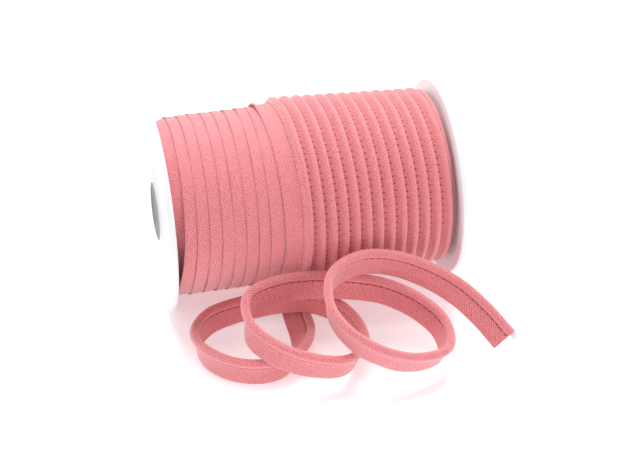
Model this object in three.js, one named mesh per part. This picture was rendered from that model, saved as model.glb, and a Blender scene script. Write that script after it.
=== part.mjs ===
// A roll of piping trim on a two-flanged spool, with its free end lying in three loops in front.
// Units are millimetres, +Z is up, and the spool's axis runs along X.
// The origin is on the surface that the spool stands on, below the middle of the spool.

import * as THREE from 'three';

// Spool
const FLANGE_RADIUS = 43;
const FLANGE_THICKNESS = 2.95;
const WINDING_WIDTH = 121.3;
const BORE_RADIUS = 12.5;
const TUBE_WALL = 2.5;
const FLAT_SPOT = 6;
const CLEARANCE = 0.3;

// Trim
const TRIM_WIDTH = 12;
const BEAD_RADIUS = 1.9;
const CLOTH_THICKNESS = 1;
const CORE_RADIUS = 1.5;
const CORE_STUB = 2.6;

// Wound form: the flat half lies left of the last turn, the corded half right of it
const FLAT_HALF = { start: -57.3, pitch: 5.27, turns: 8, radius: 39.8, drop: 0.6 };
const LAST_TURN = { start: -14.9, seam: -6.9, radius: 40.1, seamRadius: 39.7 };
const CORDED_HALF = { pitch: 5.07, turns: 13, radius: 42.7, fallPerMm: 0.0545, valley: 1.5 };
const END_RADIUS = 37.5;
const STEP_RUN = 0.1;
// One bead of the corded half, in rows of [share of the pitch, drop below the bead's top]
const BEAD_CREST = [[0.2, 0.38], [0.42, 0], [0.68, 0.38]];

// Fineness of the round forms
const DISC_SEGMENTS = 96;
const BORE_SEGMENTS = 32;
const WOUND_SEGMENTS = 44;
const BEAD_SEGMENTS = 8;
const STUB_SEGMENTS = 10;
const TRIM_STEPS = 76;

const flatDepth = FLANGE_RADIUS - Math.sqrt(FLANGE_RADIUS ** 2 - (FLAT_SPOT / 2) ** 2);
const axisHeight = FLANGE_RADIUS - flatDepth;
const tubeRadius = BORE_RADIUS + TUBE_WALL;
const windingHalf = WINDING_WIDTH / 2;

const plastic = new THREE.MeshStandardMaterial({ color: '#f4f3f4', roughness: 0.45, metalness: 0 });
const cotton = new THREE.MeshStandardMaterial({ color: '#df8287', roughness: 0.9, metalness: 0 });
const coreCotton = new THREE.MeshStandardMaterial({ color: '#f3efec', roughness: 0.95, metalness: 0 });

function mesh(name, geometry, material) {
  const piece = new THREE.Mesh(geometry, material);
  piece.name = name;
  return piece;
}

// A closed ring about the X axis, from rows of [place along X, radius]
function turnedRing(profile, segments) {
  const points = profile.map(([along, radius]) => new THREE.Vector2(radius, along));
  points.push(points[0].clone());
  const ring = new THREE.LatheGeometry(points, segments);
  ring.rotateZ(-Math.PI / 2);
  ring.translate(0, 0, axisHeight);
  return ring;
}

function coreTube() {
  const half = windingHalf - CLEARANCE;
  const profile = [[-half, BORE_RADIUS], [-half, tubeRadius], [half, tubeRadius], [half, BORE_RADIUS]];
  return mesh('core_tube', turnedRing(profile, BORE_SEGMENTS), plastic);
}

// A disc with the bore's hole and a small flat at the bottom, where the spool stands
function flange(name, side) {
  const flatAngle = Math.asin(FLAT_SPOT / 2 / FLANGE_RADIUS);
  const down = -Math.PI / 2;
  const outline = new THREE.Shape();
  outline.absarc(0, 0, FLANGE_RADIUS, down + flatAngle, down + 2 * Math.PI - flatAngle, false);
  const hole = new THREE.Path();
  hole.absarc(0, 0, BORE_RADIUS, 0, 2 * Math.PI, true);
  outline.holes.push(hole);
  const disc = new THREE.ExtrudeGeometry(outline, {
    depth: FLANGE_THICKNESS,
    bevelEnabled: false,
    curveSegments: DISC_SEGMENTS,
  });
  const piece = mesh(name, disc, plastic);
  // The disc's plane turns from XY to YZ, with its own Y pointing up
  piece.rotation.set(Math.PI / 2, Math.PI / 2, 0, 'XYZ');
  piece.position.set(side > 0 ? windingHalf : -windingHalf - FLANGE_THICKNESS, 0, axisHeight);
  return piece;
}

function cordedRadius(along) {
  return CORDED_HALF.radius - CORDED_HALF.fallPerMm * (along - LAST_TURN.seam);
}

// Each flat turn laps over its left neighbour, so the surface steps up at its left edge.
// Each corded turn shows its bead, with a valley along its seam.
function woundTrim() {
  const end = windingHalf - CLEARANCE;
  const inner = tubeRadius + CLEARANCE;
  const flatLow = FLAT_HALF.radius - FLAT_HALF.drop;
  const profile = [[-end, inner], [-end, flatLow]];
  for (let turn = 0; turn < FLAT_HALF.turns; turn += 1) {
    const edge = FLAT_HALF.start + turn * FLAT_HALF.pitch;
    profile.push([edge - STEP_RUN, flatLow], [edge, FLAT_HALF.radius]);
  }
  profile.push([LAST_TURN.start - STEP_RUN, flatLow]);
  profile.push([LAST_TURN.start, LAST_TURN.radius], [LAST_TURN.seam, LAST_TURN.seamRadius]);
  for (let turn = 0; turn < CORDED_HALF.turns; turn += 1) {
    const seam = LAST_TURN.seam + turn * CORDED_HALF.pitch;
    const top = cordedRadius(seam);
    if (turn > 0) profile.push([seam, top - CORDED_HALF.valley]);
    BEAD_CREST.forEach(([share, drop]) => profile.push([seam + share * CORDED_HALF.pitch, top - drop]));
  }
  profile.push([end, END_RADIUS], [end, inner]);
  return mesh('wound_trim', turnedRing(profile, WOUND_SEGMENTS), cotton);
}

// Route of the loose trim, from the underside of the roll to the cut end.
// Columns: x, y, z of the middle of the trim's width, and its lean in degrees.
// At lean 0 the trim stands on its flange with the bead on top; at 90 it lies flat, bead to the left.
const LOOSE_ROUTE = [
  [-9, -18.5, 2, 90],
  [-9, -34, 2.1, 82],
  [-10, -49, 3.8, 56],
  [-14.5, -63.5, 5.9, 24],
  [-26, -72, 6.2, 0],
  [-40.5, -70, 6.2, -5],
  [-52, -59.5, 6.2, -1],
  [-55.5, -46, 6.2, 8],
  [-47.5, -34, 6.2, 15],
  [-34, -30, 7.2, 9],
  [-19.5, -31.5, 9.4, 0],
  [-5.5, -36.5, 11.6, -3],
  [5.5, -45, 11, 8],
  [11, -57, 8.8, 18],
  [10, -70, 7.6, 22],
  [0, -81.5, 10.4, 12],
  [-14.5, -82, 14, -2],
  [-27.5, -75, 17.2, -12],
  [-36, -63.5, 21.4, -9],
  [-33, -50.5, 25.6, 9],
  [-19.5, -45.5, 27, 18],
  [-4.5, -45, 26.4, 17],
  [10, -46.5, 24.4, 14],
  [24, -50, 22, 12],
  [36, -58, 18.6, 17],
  [44, -70, 14.4, 23],
  [42, -83.5, 11.2, 25],
  [28.5, -88.5, 12.4, 18],
  [14.5, -87.5, 17.2, 13],
  [2.5, -80.5, 23.6, 8],
  [-3, -68, 29, 0],
  [1, -54.5, 34.2, -2],
  [14, -47.5, 36.2, -1],
  [28.5, -47, 33.6, 4],
  [42, -51, 28.8, 11],
  [54, -57, 22.2, 19],
  [63.5, -64.5, 14.2, 25],
  [71.5, -73.5, 5.5, 29],
];

// The route as a curve whose frames keep the trim's width at its lean
class TrimRoute extends THREE.CatmullRomCurve3 {
  constructor(rows) {
    super(rows.map(([x, y, z]) => new THREE.Vector3(x, y, z)), false, 'catmullrom', 0.5);
    const leans = rows.map((row) => new THREE.Vector3(row[3], 0, 0));
    this.leans = new THREE.CatmullRomCurve3(leans, false, 'catmullrom', 0.5);
  }

  // Unit vector across the width, from the flange's edge to the bead
  across(u) {
    const tangent = this.getTangentAt(u);
    const left = new THREE.Vector3(-tangent.y, tangent.x, 0).normalize();
    const up = new THREE.Vector3().crossVectors(tangent, left);
    const lean = THREE.MathUtils.degToRad(this.leans.getPoint(this.getUtoTmapping(u)).x);
    return up.multiplyScalar(Math.cos(lean)).addScaledVector(left, Math.sin(lean));
  }

  computeFrenetFrames(steps) {
    const frames = { tangents: [], normals: [], binormals: [] };
    for (let step = 0; step <= steps; step += 1) {
      const tangent = this.getTangentAt(step / steps);
      const across = this.across(step / steps);
      frames.tangents.push(tangent);
      frames.normals.push(across);
      frames.binormals.push(new THREE.Vector3().crossVectors(tangent, across));
    }
    return frames;
  }
}

const looseRoute = new TrimRoute(LOOSE_ROUTE);
const beadOffset = TRIM_WIDTH / 2 - BEAD_RADIUS;

// Section of the folded trim: a flat flange that opens into a round bead
function trimSection() {
  const halfCloth = CLOTH_THICKNESS / 2;
  const neck = Math.PI - Math.asin(halfCloth / BEAD_RADIUS);
  const section = new THREE.Shape();
  section.moveTo(-TRIM_WIDTH / 2, halfCloth);
  section.lineTo(-TRIM_WIDTH / 2, -halfCloth);
  for (let step = 0; step <= BEAD_SEGMENTS; step += 1) {
    const angle = -neck + (2 * neck * step) / BEAD_SEGMENTS;
    section.lineTo(beadOffset + BEAD_RADIUS * Math.cos(angle), BEAD_RADIUS * Math.sin(angle));
  }
  section.closePath();
  return section;
}

function looseTrim() {
  const strip = new THREE.ExtrudeGeometry(trimSection(), {
    steps: TRIM_STEPS,
    bevelEnabled: false,
    extrudePath: looseRoute,
  });
  return mesh('loose_trim', strip, cotton);
}

// The filler cord stands out of the bead at the cut end
function cordCoreEnd() {
  const stub = new THREE.CylinderGeometry(CORE_RADIUS, CORE_RADIUS, CORE_STUB, STUB_SEGMENTS);
  const piece = mesh('cord_core_end', stub, coreCotton);
  const along = looseRoute.getTangentAt(1);
  piece.position.copy(looseRoute.getPointAt(1));
  piece.position.addScaledVector(looseRoute.across(1), beadOffset);
  piece.position.addScaledVector(along, CLEARANCE + CORE_STUB / 2);
  piece.quaternion.setFromUnitVectors(new THREE.Vector3(0, 1, 0), along);
  return piece;
}

const roll = new THREE.Group();
roll.add(coreTube(), flange('flange_left', -1), flange('flange_right', 1));
roll.add(woundTrim(), looseTrim(), cordCoreEnd());

export default roll;
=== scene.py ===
"""A roll of piping trim with its loose end lying in three loops, modelled and finished around its CAD frame.

Lengths are worked out in millimetres and turned to metres as each mesh is made.
Angles round the roll are in degrees: 0 is its top, 90 its front, -90 its back and 180 its underside.
"""

import math
import random

import bpy
import numpy as np
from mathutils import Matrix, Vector


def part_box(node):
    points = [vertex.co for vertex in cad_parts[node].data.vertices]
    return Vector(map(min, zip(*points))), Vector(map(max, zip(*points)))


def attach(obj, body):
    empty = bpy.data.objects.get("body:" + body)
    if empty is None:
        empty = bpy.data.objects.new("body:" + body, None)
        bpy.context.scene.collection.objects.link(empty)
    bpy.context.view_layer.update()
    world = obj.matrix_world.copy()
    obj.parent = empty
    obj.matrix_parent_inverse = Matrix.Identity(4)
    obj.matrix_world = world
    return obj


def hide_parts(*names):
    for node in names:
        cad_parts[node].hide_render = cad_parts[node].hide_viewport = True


bl_info = {
    "name": "Roll of Piping Trim",
    "version": (1, 0, 0),
    "blender": (4, 5, 0),
    "location": "View3D > Sidebar > Piping Trim",
    "description": "Makes a roll of corded piping trim on a white spool, with its studio",
    "category": "Object",
}

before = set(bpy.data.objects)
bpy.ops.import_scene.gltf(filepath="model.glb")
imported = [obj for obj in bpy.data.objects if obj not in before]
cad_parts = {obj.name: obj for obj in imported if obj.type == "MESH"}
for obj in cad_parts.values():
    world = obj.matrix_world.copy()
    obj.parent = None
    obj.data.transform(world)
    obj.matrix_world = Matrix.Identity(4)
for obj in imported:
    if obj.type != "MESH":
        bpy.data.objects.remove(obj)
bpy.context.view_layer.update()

MM = 0.001
# The attribute that holds each corner's place on the cloth, in mm: along the strip, round its section and
# away from the seam
PLACE = "trim_place"

CAMERA_LENS = 109.3
CAMERA_PLACE = (-0.15044, -0.66243, 0.49568)
CAMERA_TARGET = (0.00201, -0.01066, 0.02877)
# Soft lights: name, place and size in metres, and share of the key's power
SOFT_LIGHTS = [
    ("overhead_light", (0.05, 0.5, 1.05), 1.0, 1.05),
    ("left_light", (-1.1, -0.4, 0.4), 0.8, 0.19),
    ("right_light", (0.9, -0.9, 0.4), 0.8, 0.33),
]
FLOOR_SIZE = 4.0
FLOOR_GAP = 0.0002

# Sewing, in mm: the seam's place across the trim, the needle's holes and the thread.
# The holes, with painted shade in them, are drawn wider than real ones, so that they show in a picture of the
# whole roll.
SEAM = 1.95
OUTER_SEAM = SEAM - 0.2
# A distance from the seam for cloth that has none
NO_SEAM = 10
HOLE_RADIUS = 0.45
THREAD_RADIUS = 0.15
THREAD_SIDES = 6
# Each ring of a stitch: its share of the stitch's length, how far it sinks in, and its share of the thickness
STITCH_RINGS = [
    (0.18, 0.14, 0.55),
    (0.32, 0.0, 0.95),
    (0.5, -0.05, 1.0),
    (0.68, 0.0, 0.95),
    (0.82, 0.14, 0.55),
]

# Filler cord at the cut end, in mm: one strand in the middle and a ring of others twisted round it
STRANDS = 6
STRAND_SIDES = 10
STRAND_LEVELS = 8
STRAND_RADIUS = 0.52
STRAND_RING = 0.92
# How far the ring of strands turns over the stub's length, in radians
STRAND_TWIST = 1.3
# The shortest strand's share of the stub, and the most by which a strand stands away from the middle
SHORTEST_STRAND = 0.82
MOST_SPREAD = 0.16
CORE_STUB = 2.6
CORE_GAP = 0.3

FLANGE_LOW, FLANGE_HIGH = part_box("flange_right")
TUBE_LOW, TUBE_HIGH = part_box("core_tube")
FLANGE_RADIUS = (FLANGE_HIGH.y - FLANGE_LOW.y) / 2
AXIS_HEIGHT = FLANGE_HIGH.z - FLANGE_RADIUS
TUBE_RADIUS = (TUBE_HIGH.y - TUBE_LOW.y) / 2

# Middle of the loose trim's width, in metres, and its lean in degrees.
# At lean 0 the trim stands on its flange with the bead on top; at 90 it lies flat, bead to the left.
LOOSE_ROUTE = [
    (-0.0090, -0.0185, 0.0020, 90),
    (-0.0090, -0.0340, 0.0021, 82),
    (-0.0100, -0.0490, 0.0038, 56),
    (-0.0145, -0.0635, 0.0059, 24),
    (-0.0260, -0.0720, 0.0062, 0),
    (-0.0405, -0.0700, 0.0062, -5),
    (-0.0520, -0.0595, 0.0062, -1),
    (-0.0555, -0.0460, 0.0062, 8),
    (-0.0475, -0.0340, 0.0062, 15),
    (-0.0340, -0.0300, 0.0072, 9),
    (-0.0195, -0.0315, 0.0094, 0),
    (-0.0055, -0.0365, 0.0116, -3),
    (0.0055, -0.0450, 0.0110, 8),
    (0.0110, -0.0570, 0.0088, 18),
    (0.0100, -0.0700, 0.0076, 22),
    (0.0000, -0.0815, 0.0104, 12),
    (-0.0145, -0.0820, 0.0140, -2),
    (-0.0275, -0.0750, 0.0172, -12),
    (-0.0360, -0.0635, 0.0214, -9),
    (-0.0330, -0.0505, 0.0256, 9),
    (-0.0195, -0.0455, 0.0270, 18),
    (-0.0045, -0.0450, 0.0264, 17),
    (0.0100, -0.0465, 0.0244, 14),
    (0.0240, -0.0500, 0.0220, 12),
    (0.0360, -0.0580, 0.0186, 17),
    (0.0440, -0.0700, 0.0144, 23),
    (0.0420, -0.0835, 0.0112, 25),
    (0.0285, -0.0885, 0.0124, 18),
    (0.0145, -0.0875, 0.0172, 13),
    (0.0025, -0.0805, 0.0236, 8),
    (-0.0030, -0.0680, 0.0290, 0),
    (0.0010, -0.0545, 0.0342, -2),
    (0.0140, -0.0475, 0.0362, -1),
    (0.0285, -0.0470, 0.0336, 4),
    (0.0420, -0.0510, 0.0288, 11),
    (0.0540, -0.0570, 0.0222, 19),
    (0.0635, -0.0645, 0.0142, 25),
    (0.0715, -0.0735, 0.0055, 29),
]
ROUTE_TENSION = 0.5
ROUTE_SAMPLES = 4001
# Across the loose trim, the line from which its flange ripples, and over how much of its width
RIPPLE_FROM = 1
RIPPLE_WIDTH = 7

# Left edge of each flat turn, in mm along the axis: at the top of the roll and low on its front
FLAT_EDGES = [
    (-60.2, -60.2),
    (-55.2, -59.6),
    (-50.2, -53.8),
    (-45.3, -48.0),
    (-40.2, -42.4),
    (-35.3, -37.1),
    (-30.3, -32.1),
    (-25.0, -26.8),
    (-20.3, -21.6),
]
LOW_FRONT = 115
# How far right of its place at the top an edge lies when it comes round to the underside, in mm
BACK_SHIFT = 1.2
# How much of the way from its place at the top to its place low on the front an edge has gone, by angle
EDGE_WAY = [(0, 0.0), (40, 0.06), (60, 0.2), (80, 0.42), (100, 0.75), (LOW_FRONT, 1.0)]

# The last turn: its bead's middle along the axis, by angle
LAST_BEAD = [
    (-180, -4.9),
    (-140, -6.2),
    (-100, -7.2),
    (-60, -7.4),
    (-20, -7.2),
    (0, -6.4),
    (20, -5.7),
    (40, -5.1),
    (60, -4.7),
    (80, -4.8),
    (95, -5.2),
    (LOW_FRONT, -6.2),
    (150, -8.0),
    (180, -9.2),
]
# The corded turns: how far their beads shift along the axis from where they are at the front
CORDED_SHIFT = [
    (-180, -4.67),
    (-100, -4.0),
    (-60, -3.2),
    (-20, -2.3),
    (0, -1.7),
    (20, -1.1),
    (40, -0.5),
    (60, -0.1),
    (80, 0.0),
    (100, 0.0),
    (180, 0.4),
]
# Turns beside the last one, without the end turn by the flange
CORDED_TURNS = 12
# Places along the axis, in mm: the bead beside the last turn, at the front, and the end turn's bead
FIRST_CORDED_BEAD = 0.37
END_BEAD = 57.25
# Where the corded half's radius starts to fall: at the last turn's bead on the front
FALL_START = -4.7

# The winding is pressed in most at this angle, low on its front, and less within this reach on both sides
PRESSED_AT = 150
PRESSED_REACH = 38
# The shares of that pressing that the corded turns and the last turn take
CORDED_PRESS = 0.8
LAST_PRESS = 0.9
# Rough lengths of a turn, by which the unevenness along it is counted
FLAT_TURN_LENGTH = 250
CORDED_TURN_LENGTH = 260
# How far on both sides a table by angle is smoothed
TRACK_REACH = 8

# Flat turns: their pitch and half their thickness
FLAT_PITCH = 5.27
LAP_HALF = 0.28
# The ribbon starts at this angle and ends just past the last edge; its edge is smoothed over part of a turn
RIBBON_START = 112
RIBBON_SPARE = 0.02
EDGE_REACH = 0.025
# The first turn climbs from the layer below, beside the left flange, and is up at this angle
FIRST_TURN_DEPTH = 8.0
FIRST_TURN_UP = 45
FIRST_TURN_CLIMB = 65
# It leans down towards the flange, and straightens up over this part of the ribbon, in turns
FIRST_TURN_LEAN = 2.0
LEAN_EASES = 0.85
LEAN_RUN = 0.5
# How far the left edges lie down on the turns below them, and over how much of their width
EDGE_PRESS = 0.1
EDGE_PRESS_WIDTH = 1.5
# Section of a flat turn: place across from its left edge, and out of it in shares of half its thickness.
# Below its left edge a narrow slit stays open above the turn that it laps over.
FLAT_SECTION = [
    (0, -0.3), (0.02, -0.55), (0.1, -0.8), (0.35, -1.0), (1.2, -1.1), (2.4, -1.16), (3.6, -1.14),
    (4.8, -1.04), (6.9, -1.0), (6.9, 1.0), (3.5, 1.0), (1.1, 0.9), (0.6, 0.1), (0.12, -0.1),
]

# Corded turns: the end one, by the flange, comes up from the layer below and lies lower than the others.
# The first one, beside the last turn, goes down below it at the back. Runs, rises and falls are in degrees.
CORDED_BEAD = 1.45
CORDED_SEAM = -2.75
CORDED_START = 75
END_TURN_RUN = 150
END_TURN_LOWER = 0.9
END_TURN_DEPTH = 4
END_TURN_RISE = 30
FIRST_CORDED_DEPTH = 4.5
FIRST_CORDED_DOWN = -40
FIRST_CORDED_FALL = 70

# The last turn, in degrees and mm: its flange falls below its bead over a short run across it
LAST_TURN_START = 178
LAST_SEAM = -2.6
LAST_DROP = 1.65
DROP_START = -1.2
DROP_RUN = 1.9
# Its edge lifts at one angle, outside a line across it, and its layers have slipped apart at another angle
LIFT_AT = -22
LIFT_REACH = 16
LIFT_FROM = -2
LIFT_WIDTH = 4
SLIP = 0.8
SLIP_AT = 93
SLIP_REACH = 10
# The stretch that leaves the roll's underside counts as this many degrees more, and stops short of the
# loose end
TAIL_ANGLE = 90
TAIL_GAP = 0.3
# Places across the last turn, from its bead's middle: its edge, its flange, its seam and its bead's two sides
WOUND_PLACES = [-10.1, -4.3, LAST_SEAM, -1.6, CORDED_BEAD]
# Closed section of the layers below: place along the axis, and radius
BODY_PROFILE = [
    (-60.35, 31), (-57.5, 31.5), (-56, 36.5), (-54.5, 37.4), (-12, 37.4), (-9, 38), (-7, 38.3), (60.35, 34.5),
    (60.35, 15.3), (-60.35, 15.3),
]

# Fineness of the meshes
STEPS_A_TURN = 230
LAST_TURN_STEPS = 270
LOOSE_STEPS = 800
TAIL_STEPS = 30
SPOOL_SEGMENTS = 192
BODY_SEGMENTS = 160
CORNER_STEPS = 6

# The tube's brightness, as a share of the flanges': painted shade for the deep bore
TUBE_BRIGHTNESS = 0.4


def linear(hex_colour):
    """Linear red, green, blue and alpha of an sRGB hex value."""
    parts = [int(hex_colour[start:start + 2], 16) / 255 for start in (1, 3, 5)]
    light = [part / 12.92 if part <= 0.04045 else ((part + 0.055) / 1.055) ** 2.4 for part in parts]
    return (*light, 1.0)


class PipingTrimCloth(bpy.types.PropertyGroup):
    """Sizes and colours of the trim."""

    width: bpy.props.FloatProperty(
        name="Width", description="From the flange's edge to the top of the bead",
        default=0.012, min=0.008, max=0.02, unit="LENGTH", precision=4,
    )
    bead_radius: bpy.props.FloatProperty(
        name="Bead radius", description="Radius of the cloth round the filler cord",
        default=0.0019, min=0.001, max=0.004, unit="LENGTH", precision=4,
    )
    thickness: bpy.props.FloatProperty(
        name="Flange thickness", description="Both layers of cloth together",
        default=0.001, min=0.0004, max=0.002, unit="LENGTH", precision=4,
    )
    stitch: bpy.props.FloatProperty(
        name="Stitch length", description="From one needle hole to the next",
        default=0.0029, min=0.0015, max=0.005, unit="LENGTH", precision=4,
    )
    thread_spacing: bpy.props.FloatProperty(
        name="Weave spacing", description="From one woven thread to the next",
        default=0.00096, min=0.0003, max=0.002, unit="LENGTH", precision=5,
    )
    cloth_colour: bpy.props.FloatVectorProperty(
        name="Cloth", description="Colour of the woven cotton",
        default=linear("#D7666C"), size=4, min=0, max=1, subtype="COLOR",
    )
    thread_colour: bpy.props.FloatVectorProperty(
        name="Sewing thread", description="Colour of the seam's thread",
        default=linear("#D9676D"), size=4, min=0, max=1, subtype="COLOR",
    )
    core_colour: bpy.props.FloatVectorProperty(
        name="Filler cord", description="Colour of the cord inside the bead",
        default=linear("#FDFCFB"), size=4, min=0, max=1, subtype="COLOR",
    )


class PipingTrimWinding(bpy.types.PropertyGroup):
    """Sizes of the wound trim."""

    flat_radius: bpy.props.FloatProperty(
        name="Flat half's radius", description="Radius of the roll where the flanges of the trim show",
        default=0.0398, min=0.03, max=0.042, unit="LENGTH", precision=4,
    )
    lap_step: bpy.props.FloatProperty(
        name="Lap step", description="How far each flat turn stands up from the one that it laps over",
        default=0.0006, min=0.0002, max=0.001, unit="LENGTH", precision=4,
    )
    corded_radius: bpy.props.FloatProperty(
        name="Corded half's radius", description="Radius of the roll over the last turn's bead",
        default=0.0427, min=0.036, max=0.0429, unit="LENGTH", precision=4,
    )
    corded_pitch: bpy.props.FloatProperty(
        name="Corded pitch", description="From one bead of the corded half to the next",
        default=0.00507, min=0.004, max=0.007, unit="LENGTH", precision=5,
    )
    corded_fall: bpy.props.FloatProperty(
        name="Corded fall", description="How far the corded half's radius falls for each metre along it",
        default=0.0545, min=0.0, max=0.1,
    )
    slack: bpy.props.FloatProperty(
        name="Slack", description="How far the winding is pressed in low on its front",
        default=0.0027, min=0.0, max=0.004, unit="LENGTH", precision=4,
    )
    lift: bpy.props.FloatProperty(
        name="Lifted edge", description="How far the last turn's edge stands off at the top of the roll",
        default=0.0016, min=0.0, max=0.003, unit="LENGTH", precision=4,
    )


class PipingTrimSpool(bpy.types.PropertyGroup):
    """Sizes and colour of the spool."""

    bore_radius: bpy.props.FloatProperty(
        name="Bore radius", description="Radius of the hole through the spool",
        default=0.0125, min=0.005, max=0.0145, unit="LENGTH", precision=4,
    )
    rim_rounding: bpy.props.FloatProperty(
        name="Rim rounding", description="Radius of the flanges' rounded edges",
        default=0.0008, min=0.0002, max=0.0014, unit="LENGTH", precision=4,
    )
    spool_colour: bpy.props.FloatVectorProperty(
        name="Spool", description="Colour of the moulded spool",
        default=linear("#F6F6F7"), size=4, min=0, max=1, subtype="COLOR",
    )


class PipingTrimStudio(bpy.types.PropertyGroup):
    """Lights and floor."""

    fill: bpy.props.FloatProperty(
        name="Fill", description="Strength of the white surroundings",
        default=0.54, min=0.0, max=2.0,
    )
    key: bpy.props.FloatProperty(
        name="Key", description="Power of which each soft light takes its share",
        default=12.3, min=0.0, max=50.0, unit="POWER",
    )
    floor_glow: bpy.props.FloatProperty(
        name="Floor glow", description="Strength of the light that the floor gives from below",
        default=0.34, min=0.0, max=1.0,
    )
    floor_colour: bpy.props.FloatVectorProperty(
        name="Floor", description="Colour of the floor",
        default=linear("#F7F8FC"), size=4, min=0, max=1, subtype="COLOR",
    )


def settings(group):
    """One of the groups of settings: cloth, winding, spool or studio. Its lengths are in metres."""
    return getattr(bpy.context.scene, "trim_" + group)


def node(tree, kind, inputs=None, **values):
    """Adds a node with its settings.

    An input is a value, a socket, or a node whose first output in use it takes.
    """
    made = tree.nodes.new(kind)
    for name, value in values.items():
        setattr(made, name, value)
    for name, value in (inputs or {}).items():
        socket = made.inputs[name] if isinstance(name, int) else next(
            each for each in made.inputs if each.enabled and each.name == name
        )
        if isinstance(value, bpy.types.Node):
            value = next(each for each in value.outputs if each.enabled)
        if isinstance(value, bpy.types.NodeSocket):
            tree.links.new(value, socket)
        else:
            socket.default_value = value
    return made


def surface(name, **even):
    """A new material with a principled shader, whose even values are set on its own sockets."""
    material = bpy.data.materials.new(name)
    material.use_nodes = True
    tree = material.node_tree
    tree.nodes.clear()
    shader = node(tree, "ShaderNodeBsdfPrincipled")
    for socket, value in even.items():
        shader.inputs[socket.replace("_", " ")].default_value = value
    node(tree, "ShaderNodeOutputMaterial", {"Surface": shader})
    return material, tree, shader


def shade(colour, red, green, blue):
    """A colour with its red, green and blue scaled."""
    scaled = [min(part * share, 1.0) for part, share in zip(colour, (red, green, blue))]
    return (*scaled, 1.0)


def finish_shader(tree, shader, **patterns):
    """Links patterns to the shader's sockets."""
    for socket, value in patterns.items():
        output = next(each for each in value.outputs if each.enabled)
        tree.links.new(output, shader.inputs[socket.replace("_", " ")])


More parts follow.
